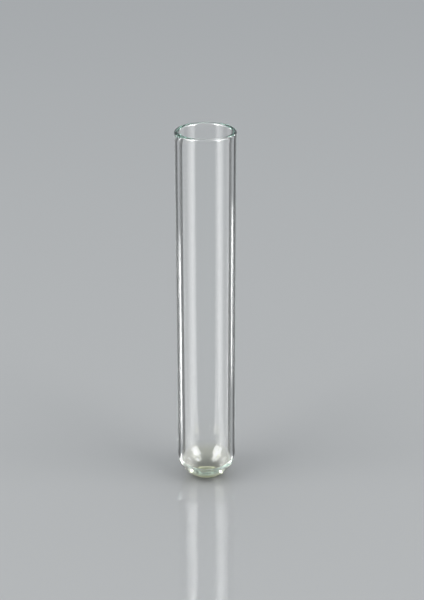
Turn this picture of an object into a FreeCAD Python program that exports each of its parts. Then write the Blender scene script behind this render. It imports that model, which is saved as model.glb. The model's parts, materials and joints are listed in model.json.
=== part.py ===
"""Rimless round-bottom test tube, 16 mm outside diameter and 100 mm long, drawn from one piece of glass.

Frame: +Z runs up the tube, and the origin is where its axis meets the foot, so the tube stands on Z = 0.
The wall is one closed outline turned about Z: the foot, the round bottom, the outer wall, the rounded rim,
the bore, and the inner bottom, which is shallower than a half sphere, so the glass is thickest in its middle.
"""

import FreeCAD, Part
import math
import os
import Sketcher

DIMENSIONS = (  # alias, value in mm, what it is
    ("outer_diameter", 16.0, "outside of the tube and of its round bottom"),
    ("overall_length", 100.0, "foot to the top of the rim"),
    ("wall_thickness", 1.2, "side wall; the rim is a full round of this width"),
    ("floor_thickness", 1.5, "glass under the lowest point of the bore"),
    ("floor_radius", 7.5, "rounding of the bore's floor, up to its corner"),
    ("corner_radius", 2.6, "blend from the bore's straight wall into its floor"),
    ("foot_diameter", 4.2, "small flat that the tube stands on"),
    ("foot_round", 2.0, "radius that blends the flat into the round bottom"),
)

ORIGIN_POINT = (-1, 1)
VERTICAL_AXIS = -2
START, END, CENTRE = 1, 2, 3


def make_sheet(document):
    sheet = document.addObject("Spreadsheet::Sheet", "Dimensions")
    for row, (alias, value, meaning) in enumerate(DIMENSIONS, start=1):
        sheet.set(f"A{row}", alias)
        sheet.set(f"B{row}", str(value))
        sheet.set(f"C{row}", meaning)
        sheet.setAlias(f"B{row}", alias)
    document.recompute()
    return sheet


def origin_plane(body, role):
    return next(feature for feature in body.Origin.OriginFeatures if feature.Role == role)


def line(start, end):
    return Part.LineSegment(FreeCAD.Vector(*start, 0), FreeCAD.Vector(*end, 0))


def arc(centre, radius, start_angle, end_angle):
    """Arc drawn anticlockwise from start_angle to end_angle, in radians from the page's right."""
    circle = Part.Circle(FreeCAD.Vector(*centre, 0), FreeCAD.Vector(0, 0, 1), radius)
    return Part.ArcOfCircle(circle, start_angle, end_angle)


def bind(sketch, name, constraint, expression):
    """Adds a sized constraint, names it and ties its size to the sheet."""
    index = sketch.addConstraint(constraint)
    sketch.renameConstraint(index, name)
    sketch.setExpression(f"Constraints.{name}", expression)


def draw_wall_section(sketch, sheet):
    """Half of the wall's cross-section: across the page is the radius, up the page is +Z.

    The points are first placed from the sheet's present values, and then tied to its cells.
    """
    outer = sheet.outer_diameter / 2
    wall = sheet.wall_thickness
    floor = sheet.floor_thickness
    floor_radius = sheet.floor_radius
    corner = sheet.corner_radius
    foot = sheet.foot_diameter / 2
    blend = sheet.foot_round
    bore = outer - wall
    rim_height = sheet.overall_length - wall / 2
    outer_centre = blend + math.sqrt((outer - blend) ** 2 - foot**2)
    floor_centre = floor + floor_radius
    corner_rise = math.sqrt((floor_radius - corner) ** 2 - (bore - corner) ** 2)
    corner_height = floor_centre - corner_rise
    corner_end = math.atan2(-corner_rise, bore - corner)
    blend_end = math.atan2(blend - outer_centre, foot)

    foot_line = sketch.addGeometry(line((0, 0), (foot, 0)))
    foot_blend = sketch.addGeometry(arc((foot, blend), blend, -math.pi / 2, blend_end))
    outer_bottom = sketch.addGeometry(arc((0, outer_centre), outer, blend_end, 0))
    outer_wall = sketch.addGeometry(line((outer, outer_centre), (outer, rim_height)))
    rim = sketch.addGeometry(arc((outer - wall / 2, rim_height), wall / 2, 0, math.pi))
    bore_wall = sketch.addGeometry(line((bore, rim_height), (bore, corner_height)))
    bore_corner = sketch.addGeometry(arc((bore - corner, corner_height), corner, corner_end, 0))
    inner_bottom = sketch.addGeometry(arc((0, floor_centre), floor_radius, -math.pi / 2, corner_end))
    axis_line = sketch.addGeometry(line((0, floor), (0, 0)))

    joins = (
        ("Coincident", foot_line, START, *ORIGIN_POINT),
        ("Tangent", foot_line, END, foot_blend, START),
        ("Tangent", foot_blend, END, outer_bottom, START),
        ("Tangent", outer_bottom, END, outer_wall, START),
        ("Tangent", outer_wall, END, rim, START),
        ("Tangent", rim, END, bore_wall, START),
        ("Tangent", bore_wall, END, bore_corner, END),
        ("Tangent", bore_corner, START, inner_bottom, END),
        ("Coincident", inner_bottom, START, axis_line, START),
        ("Coincident", axis_line, END, *ORIGIN_POINT),
        ("Horizontal", foot_line),
        ("Vertical", outer_wall),
        ("Vertical", bore_wall),
        ("Vertical", axis_line),
        ("PointOnObject", outer_bottom, CENTRE, VERTICAL_AXIS),
        ("PointOnObject", inner_bottom, CENTRE, VERTICAL_AXIS),
    )
    for join in joins:
        sketch.addConstraint(Sketcher.Constraint(*join))

    bind(
        sketch, "foot_half_width",
        Sketcher.Constraint("DistanceX", *ORIGIN_POINT, foot_line, END, foot),
        "Dimensions.foot_diameter / 2",
    )
    bind(
        sketch, "foot_blend_radius",
        Sketcher.Constraint("Radius", foot_blend, blend),
        "Dimensions.foot_round",
    )
    bind(
        sketch, "outer_radius",
        Sketcher.Constraint("Radius", outer_bottom, outer),
        "Dimensions.outer_diameter / 2",
    )
    bind(
        sketch, "rim_radius",
        Sketcher.Constraint("Radius", rim, wall / 2),
        "Dimensions.wall_thickness / 2",
    )
    bind(
        sketch, "rim_centre_height",
        Sketcher.Constraint("DistanceY", *ORIGIN_POINT, rim, CENTRE, rim_height),
        "Dimensions.overall_length - Dimensions.wall_thickness / 2",
    )
    bind(
        sketch, "corner_radius",
        Sketcher.Constraint("Radius", bore_corner, corner),
        "Dimensions.corner_radius",
    )
    bind(
        sketch, "floor_radius",
        Sketcher.Constraint("Radius", inner_bottom, floor_radius),
        "Dimensions.floor_radius",
    )
    bind(
        sketch, "floor_height",
        Sketcher.Constraint("DistanceY", *ORIGIN_POINT, axis_line, START, floor),
        "Dimensions.floor_thickness",
    )


def make_glass_tube(document, sheet):
    body = document.addObject("PartDesign::Body", "GlassTube")
    body.Label = "glass_tube"

    section = body.newObject("Sketcher::SketchObject", "WallSection")
    section.AttachmentSupport = [(origin_plane(body, "XZ_Plane"), "")]
    section.MapMode = "FlatFace"
    draw_wall_section(section, sheet)
    document.recompute()
    if not section.FullyConstrained:
        raise RuntimeError("the wall section is not fully constrained")

    wall = body.newObject("PartDesign::Revolution", "Wall")
    wall.Profile = section
    wall.ReferenceAxis = (section, ["V_Axis"])
    wall.Angle = 360
    body.Placement = FreeCAD.Placement()
    return body


def check(document, bodies):
    for item in document.Objects:
        if "Invalid" in item.State or "Error" in item.State:
            raise RuntimeError(f"{item.Label} failed to build: {item.State}")
    for body in bodies:
        if body.Shape.isNull() or not body.Shape.isValid() or len(body.Shape.Solids) != 1:
            raise RuntimeError(f"{body.Label} is not one valid solid")


def main():
    document = FreeCAD.newDocument("TestTube")
    sheet = make_sheet(document)
    bodies = [make_glass_tube(document, sheet)]
    document.recompute()
    check(document, bodies)
    os.makedirs("parts", exist_ok=True)
    for body in bodies:
        body.Shape.exportStep(f"parts/{body.Label}.step")


main()
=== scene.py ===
"""Looks of the rimless round-bottom test tube, on a plain pale floor under soft studio light.

The glass is one turned mesh that follows the CAD tube, with the small unevenness of drawn and flamed glass.
Clear glass shows only what it bends or mirrors, so the stage is mostly light cards. No camera sees them:
they show only through the glass or in reflections.
All lengths are in metres, in the CAD frame: +Z up the tube, the foot on Z = 0.
"""

import json
import math
import random

import bmesh
import bpy
from mathutils import Matrix, Vector


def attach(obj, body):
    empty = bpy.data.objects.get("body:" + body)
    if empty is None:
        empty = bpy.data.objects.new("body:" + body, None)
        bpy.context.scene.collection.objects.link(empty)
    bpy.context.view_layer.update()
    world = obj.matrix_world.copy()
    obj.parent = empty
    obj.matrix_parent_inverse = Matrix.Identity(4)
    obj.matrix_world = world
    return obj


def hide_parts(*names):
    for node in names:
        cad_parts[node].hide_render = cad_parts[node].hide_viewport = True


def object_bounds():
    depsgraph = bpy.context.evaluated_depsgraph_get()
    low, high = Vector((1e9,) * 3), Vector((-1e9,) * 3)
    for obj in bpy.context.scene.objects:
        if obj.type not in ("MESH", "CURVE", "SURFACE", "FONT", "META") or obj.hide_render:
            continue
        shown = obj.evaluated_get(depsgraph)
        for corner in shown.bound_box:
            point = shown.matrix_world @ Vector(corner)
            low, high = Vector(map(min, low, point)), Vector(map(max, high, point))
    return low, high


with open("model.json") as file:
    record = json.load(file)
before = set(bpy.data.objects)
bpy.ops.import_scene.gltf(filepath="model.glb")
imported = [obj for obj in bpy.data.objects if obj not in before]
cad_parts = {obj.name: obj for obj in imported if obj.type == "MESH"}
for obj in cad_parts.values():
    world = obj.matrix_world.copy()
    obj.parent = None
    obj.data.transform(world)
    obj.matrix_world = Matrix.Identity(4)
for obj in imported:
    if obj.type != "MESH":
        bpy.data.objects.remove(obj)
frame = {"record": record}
CAD_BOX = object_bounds()

MM = 0.001
MOUNTS = {mount["name"]: mount for mount in frame["record"]["mounts"]}
LENGTH = CAD_BOX[1].z
OUTER = MOUNTS["outer_wall"]["dims"]["r_mm"] * MM
BORE = MOUNTS["mouth"]["dims"]["r_mm"] * MM
WALL = OUTER - BORE
RIM_HEIGHT = LENGTH - WALL / 2
BOTTOM_CENTRE = RIM_HEIGHT - MOUNTS["outer_wall"]["dims"]["length_mm"] * MM
FOOT_ROUND = 2.0 * MM
FOOT_FLAT = math.sqrt((OUTER - FOOT_ROUND) ** 2 - (BOTTOM_CENTRE - FOOT_ROUND) ** 2)
CORNER_HEIGHT = RIM_HEIGHT - MOUNTS["mouth"]["dims"]["length_mm"] * MM
CORNER_ROUND = 2.6 * MM
FLOOR_ROUND = 7.5 * MM
FLOOR_CENTRE = CORNER_HEIGHT + math.sqrt((FLOOR_ROUND - CORNER_ROUND) ** 2 - (BORE - CORNER_ROUND) ** 2)
FLOOR_HEIGHT = FLOOR_CENTRE - FLOOR_ROUND

SEGMENTS = 320
WHITE = (1.0, 1.0, 1.0, 1.0)
LEFT, RIGHT = -1.0, 1.0


# --- the glass ---

def arc(centre, radius, start, end, steps):
    """Points (radius from the axis, height, outward normal) along an arc, angles in radians."""
    points = []
    for step in range(steps + 1):
        angle = start + (end - start) * step / steps
        normal = (math.cos(angle), math.sin(angle))
        points.append((centre[0] + radius * normal[0], centre[1] + radius * normal[1], normal))
    return points


def wall_line(radius, low, high, side, steps):
    """Points up a straight wall; side is +1 for the outside of the glass and -1 for the bore."""
    return [(radius, low + (high - low) * step / steps, (side, 0.0)) for step in range(steps + 1)]


def glass_profile():
    """Half cross-section, from the middle of the foot, over the rim, to the middle of the bore's floor."""
    blend_angle = math.atan2(FOOT_ROUND - BOTTOM_CENTRE, FOOT_FLAT)
    corner_angle = math.atan2(CORNER_HEIGHT - FLOOR_CENTRE, BORE - CORNER_ROUND)
    foot_steps = 8
    foot = [(FOOT_FLAT * step / foot_steps, 0.0, (0.0, -1.0)) for step in range(1, foot_steps)]
    outside = (
        foot
        + arc((FOOT_FLAT, FOOT_ROUND), FOOT_ROUND, -math.pi / 2, blend_angle, 6)
        + arc((0.0, BOTTOM_CENTRE), OUTER, blend_angle, 0.0, 34)[1:]
        + wall_line(OUTER, BOTTOM_CENTRE, RIM_HEIGHT, 1.0, 60)[1:]
    )
    rim = arc((OUTER - WALL / 2, RIM_HEIGHT), WALL / 2, 0.0, math.pi, 20)[1:-1]
    bore = wall_line(BORE, RIM_HEIGHT, CORNER_HEIGHT, -1.0, 60)
    floor = (
        arc((BORE - CORNER_ROUND, CORNER_HEIGHT), CORNER_ROUND, 0.0, corner_angle, 16)[1:]
        + arc((0.0, FLOOR_CENTRE), FLOOR_ROUND, corner_angle, -math.pi / 2, 26)[1:-1]
    )
    floor = [(radius, height, (-normal[0], -normal[1])) for radius, height, normal in floor]
    return [(point, "outside") for point in outside + rim] + [(point, "bore") for point in bore + floor]


def smooth(low, high, value):
    """Eases from 0 below low to 1 above high."""
    t = min(1.0, max(0.0, (value - low) / (high - low)))
    return t * t * (3 - 2 * t)


CHANCE = random.Random(11)
# Ridges along the bore: (angle of the middle, half width in radians, height).
DRAW_LINES = [
    (CHANCE.uniform(0, 2 * math.pi), CHANCE.uniform(0.02, 0.05), CHANCE.uniform(-0.001, 0.002) * MM)
    for _ in range(16)
]


def draw_lines(angle):
    """Height of the fine ridges that the drawing die leaves along the bore."""
    total = 0.0
    for centre, width, height in DRAW_LINES:
        away = math.remainder(angle - centre, 2 * math.pi)
        total += height * math.exp(-((away / width) ** 2))
    return total


def unevenness(surface, angle, radius, height):
    """How far the real glass stands off the nominal surface, along its outward normal."""
    spread = smooth(0.0, OUTER * 0.8, radius)
    if surface == "outside":
        oval = 0.006 * MM * math.cos(2 * angle + 0.7) + 0.001 * MM * math.cos(3 * angle - 1.1)
        waves = 0.001 * MM * math.sin(height / (5.1 * MM) + 0.6 * math.sin(angle))
        return spread * (oval + waves)
    eccentric = 0.03 * MM * math.cos(angle - 2.3) + 0.003 * MM * math.cos(3 * angle + 0.4)
    waves = 0.003 * MM * math.sin(height / (4.3 * MM) + 1.4 * math.cos(angle))
    return spread * (eccentric + waves + draw_lines(angle))


def rim_lift(angle, height):
    """The flame leaves the rim a few hundredths of a millimetre high and low round the mouth."""
    near_rim = smooth(LENGTH - 4 * MM, LENGTH, height)
    return near_rim * MM * (0.035 * math.cos(2 * angle - 0.5) + 0.015 * math.cos(5 * angle + 1.9))


def make_glass():
    """The tube as one closed mesh: a ring of points for each point of the half cross-section."""
    mesh = bpy.data.meshes.new("glass_tube_drawn")
    sheet = bmesh.new()
    rings = []
    for (radius, height, normal), surface in glass_profile():
        ring = []
        for segment in range(SEGMENTS):
            angle = 2 * math.pi * segment / SEGMENTS
            off = unevenness(surface, angle, radius, height)
            out = radius + off * normal[0]
            up = max(0.0, height + off * normal[1] + rim_lift(angle, height))
            ring.append(sheet.verts.new((out * math.cos(angle), out * math.sin(angle), up)))
        rings.append(ring)
    foot_centre = sheet.verts.new((0.0, 0.0, 0.0))
    floor_centre = sheet.verts.new((0.0, 0.0, FLOOR_HEIGHT + unevenness("bore", 0.0, 0.0, FLOOR_HEIGHT)))
    for segment in range(SEGMENTS):
        after = (segment + 1) % SEGMENTS
        sheet.faces.new((foot_centre, rings[0][after], rings[0][segment]))
        sheet.faces.new((floor_centre, rings[-1][segment], rings[-1][after]))
        for lower, upper in zip(rings, rings[1:]):
            sheet.faces.new((lower[segment], lower[after], upper[after], upper[segment]))
    for face in sheet.faces:
        face.smooth = True
    sheet.to_mesh(mesh)
    sheet.free()
    tube = bpy.data.objects.new("glass_tube_drawn", mesh)
    bpy.context.scene.collection.objects.link(tube)
    return tube


# --- materials ---

def new_material(name):
    material = bpy.data.materials.new(name)
    material.use_nodes = True
    material.node_tree.nodes.clear()
    return material, material.node_tree.nodes, material.node_tree.links


def node(nodes, kind, **settings):
    """A shader node with its properties and, for names that are sockets, its unlinked inputs set."""
    made = nodes.new(kind)
    for name, value in settings.items():
        if hasattr(made, name):
            setattr(made, name, value)
        else:
            made.inputs[name.replace("_", " ")].default_value = value
    return made


def die_lines(nodes, links, place, height):
    """Normal of the straight wall with fine lines drawn along it: noise stretched far up the tube."""
    stretch = nodes.new("ShaderNodeMapping")
    stretch.inputs["Scale"].default_value = (2600.0, 2600.0, 12.0)
    grain = node(nodes, "ShaderNodeTexNoise", Scale=1.0, Detail=2.0)
    lines = node(nodes, "ShaderNodeMapRange", From_Min=0.56, From_Max=0.78)
    above_bottom = node(nodes, "ShaderNodeMapRange", From_Min=9.0 * MM, From_Max=14.0 * MM)
    on_wall = node(nodes, "ShaderNodeMath", operation="MULTIPLY")
    bump = node(nodes, "ShaderNodeBump", Distance=0.002 * MM, Strength=1.0)
    links.new(place, stretch.inputs["Vector"])
    links.new(stretch.outputs["Vector"], grain.inputs["Vector"])
    links.new(grain.outputs["Fac"], lines.inputs["Value"])
    links.new(height, above_bottom.inputs["Value"])
    links.new(lines.outputs["Result"], on_wall.inputs[0])
    links.new(above_bottom.outputs["Result"], on_wall.inputs[1])
    links.new(on_wall.outputs["Value"], bump.inputs["Height"])
    return bump.outputs["Normal"]


def painted_olive_bottom(nodes, links, place, height):
    """Colour that is white, but olive on the outside of the round bottom: a painted olive tint that stands
    in for the warm light seen in the thick bottom.
    """
    from_centre = node(nodes, "ShaderNodeVectorMath", operation="DISTANCE")
    from_centre.inputs[1].default_value = (0.0, 0.0, BOTTOM_CENTRE)
    outside = node(nodes, "ShaderNodeMapRange", From_Min=OUTER - 0.6 * MM, From_Max=OUTER - 0.2 * MM)
    low_down = node(nodes, "ShaderNodeMapRange", From_Min=6.5 * MM, From_Max=3.5 * MM)
    painted_olive_mask = node(nodes, "ShaderNodeMath", operation="MULTIPLY")
    painted_olive_ramp = nodes.new("ShaderNodeValToRGB")
    painted_olive_ramp.color_ramp.elements[0].color = WHITE
    # Painted olive tint, for the warm light seen in the thick bottom.
    painted_olive_ramp.color_ramp.elements[1].color = (0.84, 0.84, 0.62, 1.0)
    links.new(place, from_centre.inputs[0])
    links.new(from_centre.outputs["Value"], outside.inputs["Value"])
    links.new(height, low_down.inputs["Value"])
    links.new(outside.outputs["Result"], painted_olive_mask.inputs[0])
    links.new(low_down.outputs["Result"], painted_olive_mask.inputs[1])
    links.new(painted_olive_mask.outputs["Value"], painted_olive_ramp.inputs["Fac"])
    return painted_olive_ramp.outputs["Color"]


def glass_material():
    """Clear glass that turns green where light runs far inside it, with die lines and a painted olive tint
    on its bottom.
    """
    material, nodes, links = new_material("clear_glass")
    place = nodes.new("ShaderNodeTexCoord").outputs["Object"]
    split = nodes.new("ShaderNodeSeparateXYZ")
    links.new(place, split.inputs["Vector"])
    height = split.outputs["Z"]

    glass = node(nodes, "ShaderNodeBsdfPrincipled", Roughness=0.0, IOR=1.52, Transmission_Weight=1.0)
    absorb = node(nodes, "ShaderNodeVolumeAbsorption", Color=(0.71, 0.787, 0.763, 1.0), Density=30.0)
    output = nodes.new("ShaderNodeOutputMaterial")
    # Base colour: the painted olive tint on the round bottom, standing in for warm light.
    links.new(painted_olive_bottom(nodes, links, place, height), glass.inputs["Base Color"])
    links.new(die_lines(nodes, links, place, height), glass.inputs["Normal"])
    links.new(glass.outputs["BSDF"], output.inputs["Surface"])
    links.new(absorb.outputs["Volume"], output.inputs["Volume"])
    return material


def floor_material():
    """Pale grey, polished enough to mirror the tube."""
    material, nodes, links = new_material("pale_floor")
    floor = node(nodes, "ShaderNodeBsdfPrincipled", Base_Color=(0.72, 0.72, 0.71, 1.0), Roughness=0.04)
    output = nodes.new("ShaderNodeOutputMaterial")
    links.new(floor.outputs["BSDF"], output.inputs["Surface"])
    return material


def card_material(name, colour):
    """Light as bright as the card's glow attribute says. Only the side that faces the tube shines, and light
    that would reach the floor through the glass is left out, because it only speckles the floor."""
    material, nodes, links = new_material(name)
    strength = node(nodes, "ShaderNodeAttribute", attribute_name="glow")
    path = nodes.new("ShaderNodeLightPath")
    off_floor = node(nodes, "ShaderNodeMath", operation="LESS_THAN")
    off_floor.inputs[1].default_value = 1.0
    seen = node(nodes, "ShaderNodeMath", operation="MULTIPLY")
    side = nodes.new("ShaderNodeNewGeometry")
    glow = node(nodes, "ShaderNodeEmission", Color=colour)
    clear = nodes.new("ShaderNodeBsdfTransparent")
    front = nodes.new("ShaderNodeMixShader")
    output = nodes.new("ShaderNodeOutputMaterial")
    links.new(path.outputs["Diffuse Depth"], off_floor.inputs[0])
    links.new(strength.outputs["Fac"], seen.inputs[0])
    links.new(off_floor.outputs["Value"], seen.inputs[1])
    links.new(seen.outputs["Value"], glow.inputs["Strength"])
    links.new(side.outputs["Backfacing"], front.inputs["Fac"])
    links.new(glow.outputs["Emission"], front.inputs[1])
    links.new(clear.outputs["BSDF"], front.inputs[2])
    links.new(front.outputs["Shader"], output.inputs["Surface"])
    material.cycles.emission_sampling = "NONE"
    return material


# --- the stage: floor, light cards, camera ---

def add_mesh(name, vertices, faces, material):
    """A mesh that belongs to the stage and not to the tube."""
    mesh = bpy.data.meshes.new(name)
    mesh.from_pydata(vertices, [], faces)
    thing = bpy.data.objects.new(name, mesh)
    bpy.context.scene.collection.objects.link(thing)
    thing.data.materials.append(material)
    return thing


def make_floor():
    """A large square, a hair below the foot so that the two faces do not coincide."""
    half, gap = 3.0, 0.02 * MM
    corners = [(-half, -half, -gap), (half, -half, -gap), (half, half, -gap), (-half, half, -gap)]
    add_mesh("floor", corners, [(0, 1, 2, 3)], floor_material())


def between(stops, value):
    """Straight-line value between (place, value) stops, and zero outside them."""
    if not stops[0][0] <= value <= stops[-1][0]:
        return 0.0
    for (low, at_low), (high, at_high) in zip(stops, stops[1:]):
        if value <= high:
            return at_low + (at_high - at_low) * (value - low) / (high - low)
    return stops[-1][1]


def standing(radius):
    """Places a card's points upright round the tube; its second measure is the height."""
    return lambda angle, height: (radius * math.sin(angle), -radius * math.cos(angle), height)


def lying(height):
    """Places a card's points flat at a height; its second measure is the distance from the tube's axis."""
    return lambda angle, distance: (distance * math.sin(angle), -distance * math.cos(angle), height)


def light_card(name, rig, material, side, bearings, reach, place, mirrored=True, direct=True):
    """Card that no camera sees. It shows mirrored, in the glass or the floor, or direct through the glass.

    Its glow is the product of two lists of stops: by bearing, in degrees round the tube from the camera's
    side, and along its reach, which is the second measure of its place.
    """
    turns, rows = 60, 24
    vertices, glow = [], []
    for row in range(rows + 1):
        along = reach[0][0] + (reach[-1][0] - reach[0][0]) * row / rows
        for turn in range(turns + 1):
            bearing = bearings[0][0] + (bearings[-1][0] - bearings[0][0]) * turn / turns
            vertices.append(place(side * math.radians(bearing), along))
            glow.append(between(bearings, bearing) * between(reach, along))
    faces = []
    for row in range(rows):
        for turn in range(turns):
            first = row * (turns + 1) + turn
            face = (first, first + turns + 1, first + turns + 2, first + 1)
            faces.append(face if side > 0 else face[::-1])
    card = add_mesh(name, vertices, faces, material)
    card.data.attributes.new("glow", "FLOAT", "POINT").data.foreach_set("value", glow)
    card.visible_camera = False
    card.visible_diffuse = False
    card.visible_shadow = False
    card.visible_glossy = mirrored
    card.visible_transmission = direct
    card.parent = rig


def make_rig(camera):
    """An empty on the tube's axis that always faces the camera, so the lights keep their places round it."""
    rig = bpy.data.objects.new("light_rig", None)
    bpy.context.scene.collection.objects.link(rig)
    track = rig.constraints.new("LOCKED_TRACK")
    track.target = camera
    track.track_axis = "TRACK_NEGATIVE_Y"
    track.lock_axis = "LOCK_Z"
    return rig


def make_softboxes(rig, glow):
    """A tall softbox at each side of the camera, brightest above the tube, and its glow along the floor."""
    distance, dim, bright = 1.5, 2.4, 26.0
    left = [
        (43, 0.0), (45, 0.5), (50, 0.85), (57, 1.0), (66, 0.8),
        (75, 0.6), (81, 0.5), (86, 0.25), (97, 0.2),
    ]
    right = [
        (47.5, 0.0), (48.5, 0.95), (51, 1.0), (58, 0.93),
        (67, 0.85), (71, 0.6), (76, 0.42), (97, 0.3),
    ]
    heights = [(0.0, dim), (0.33, dim), (0.4, bright), (2.4, bright)]
    floor_reach = [(OUTER + 0.2 * MM, dim), (distance, dim)]
    for name, side, bearings in (("left", LEFT, left), ("right", RIGHT, right)):
        light_card("softbox_" + name, rig, glow, side, bearings, heights, standing(distance))
        light_card("floor_glow_" + name, rig, glow, side, bearings, floor_reach, lying(0.3 * MM))


def make_flags(rig, glow):
    """Nearly black cards close behind the tube. Seen through its sides, they draw its outline dark."""
    bearings = [(108, 0.05), (134, 0.05)]
    heights = [(2 * MM, 1.0), (LENGTH - 1 * MM, 1.0)]
    for name, side in (("left", LEFT), ("right", RIGHT)):
        light_card("flag_" + name, rig, glow, side, bearings, heights, standing(12.5 * MM), mirrored=False)


def make_strips(rig, glow):
    """Narrow upright lights behind the tube, two at each side.

    An edge strip shows only in reflections: by way of the floor, it draws a white line down the tube's side.
    A glint strip shows only through the glass, as a white glint at that side of the round bottom. One strip
    that did both would also draw a thick bar beside the mouth in views from low down.
    """
    distance, bright = 0.5, 25.0
    left_edge = [(0.115, 0.0), (0.135, 0.4), (0.166, 1.0), (0.24, 1.0), (0.268, 0.0)]
    right_edge = [(0.095, 0.0), (0.128, 1.0), (0.198, 1.0), (0.225, 0.0)]
    glint = [(0.16, 1.0), (0.27, 1.0)]
    strips = (
        ("edge_left", LEFT, (125, 134), left_edge, True),
        ("edge_right", RIGHT, (128, 133), right_edge, True),
        ("glint_left", LEFT, (128, 133), glint, False),
        ("glint_right", RIGHT, (128, 133), glint, False),
    )
    for name, side, ends, heights, mirrored in strips:
        bearings = [(end, bright) for end in ends]
        place = standing(distance)
        light_card(name, rig, glow, side, bearings, heights, place, mirrored=mirrored, direct=not mirrored)


def make_foot_pool(rig, glow):
    """The light that the thick bottom gathers on the floor: dull under the foot and in front of it, and a
    bright arc round the back of it."""
    dull, bright = 0.33, 1.4
    whole_turn, front, back = (-180, 180), (-75, 75), (95, 265)
    patches = (
        ("foot_pool_middle", whole_turn, (0.0, FOOT_FLAT), 0.7 * dull),
        ("foot_pool_front", front, (FOOT_FLAT, 5.5 * MM), dull),
        ("foot_pool_arc", back, (FOOT_FLAT, 2.9 * MM), bright),
    )
    for name, ends, distances, strength in patches:
        bearings = [(end, strength) for end in ends]
        reach = [(distance, 1.0) for distance in distances]
        light_card(name, rig, glow, RIGHT, bearings, reach, lying(-0.01 * MM))


def key_light(name, rig, side):
    """Weak square lamp, above and to one side of the camera, aimed at the middle of the tube."""
    data = bpy.data.lights.new(name, "AREA")
    data.shape = "SQUARE"
    data.size = 0.6
    data.energy = 2.0
    light = bpy.data.objects.new(name, data)
    bpy.context.scene.collection.objects.link(light)
    light.location = (side * 0.6, -0.3, 0.9)
    towards_tube = Vector((0.0, 0.0, LENGTH / 2)) - light.location
    light.rotation_euler = towards_tube.to_track_quat("-Z", "Y").to_euler()
    light.parent = rig


def make_camera():
    """Camera at the photograph's angle, looking down at the tube from in front."""
    data = bpy.data.cameras.new("camera")
    data.lens = 88.8
    data.sensor_width = 36.0
    camera = bpy.data.objects.new("camera", data)
    bpy.context.scene.collection.objects.link(camera)
    pitch, yaw, roll = math.radians(23.66), math.radians(0.253), math.radians(-0.086)
    aim = Matrix.Rotation(-yaw, 3, "Z") @ Matrix.Rotation(math.pi / 2 - pitch, 3, "X")
    camera.location = (0.0, -0.3618, 0.2115)
    camera.rotation_euler = (aim @ Matrix.Rotation(roll, 3, "Z")).to_euler()
    bpy.context.scene.camera = camera
    return camera


def set_world():
    """Even, slightly cool light from all round."""
    world = bpy.data.worlds.new("studio")
    world.use_nodes = True
    background = world.node_tree.nodes["Background"]
    background.inputs["Color"].default_value = (0.9, 0.95, 1.0, 1.0)
    background.inputs["Strength"].default_value = 0.45
    bpy.context.scene.world = world


tube = make_glass()
tube.data.materials.append(glass_material())
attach(tube, "root")
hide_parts("glass_tube")

camera = make_camera()
rig = make_rig(camera)
make_floor()
set_world()

white_glow = card_material("light_card", WHITE)
olive_glow = card_material("pool_glow", (0.95, 1.0, 0.76, 1.0))
make_softboxes(rig, white_glow)
make_flags(rig, white_glow)
make_strips(rig, white_glow)
make_foot_pool(rig, olive_glow)
key_light("key_left", rig, LEFT)
key_light("key_right", rig, RIGHT)

# Light that runs inside the wall up to the rim or down to the foot can be turned back a hundred times.
bounces = 160
cycles = bpy.context.scene.cycles
cycles.max_bounces = bounces
cycles.transmission_bounces = bounces
cycles.glossy_bounces = bounces
bpy.context.scene.view_settings.view_transform = "Standard"
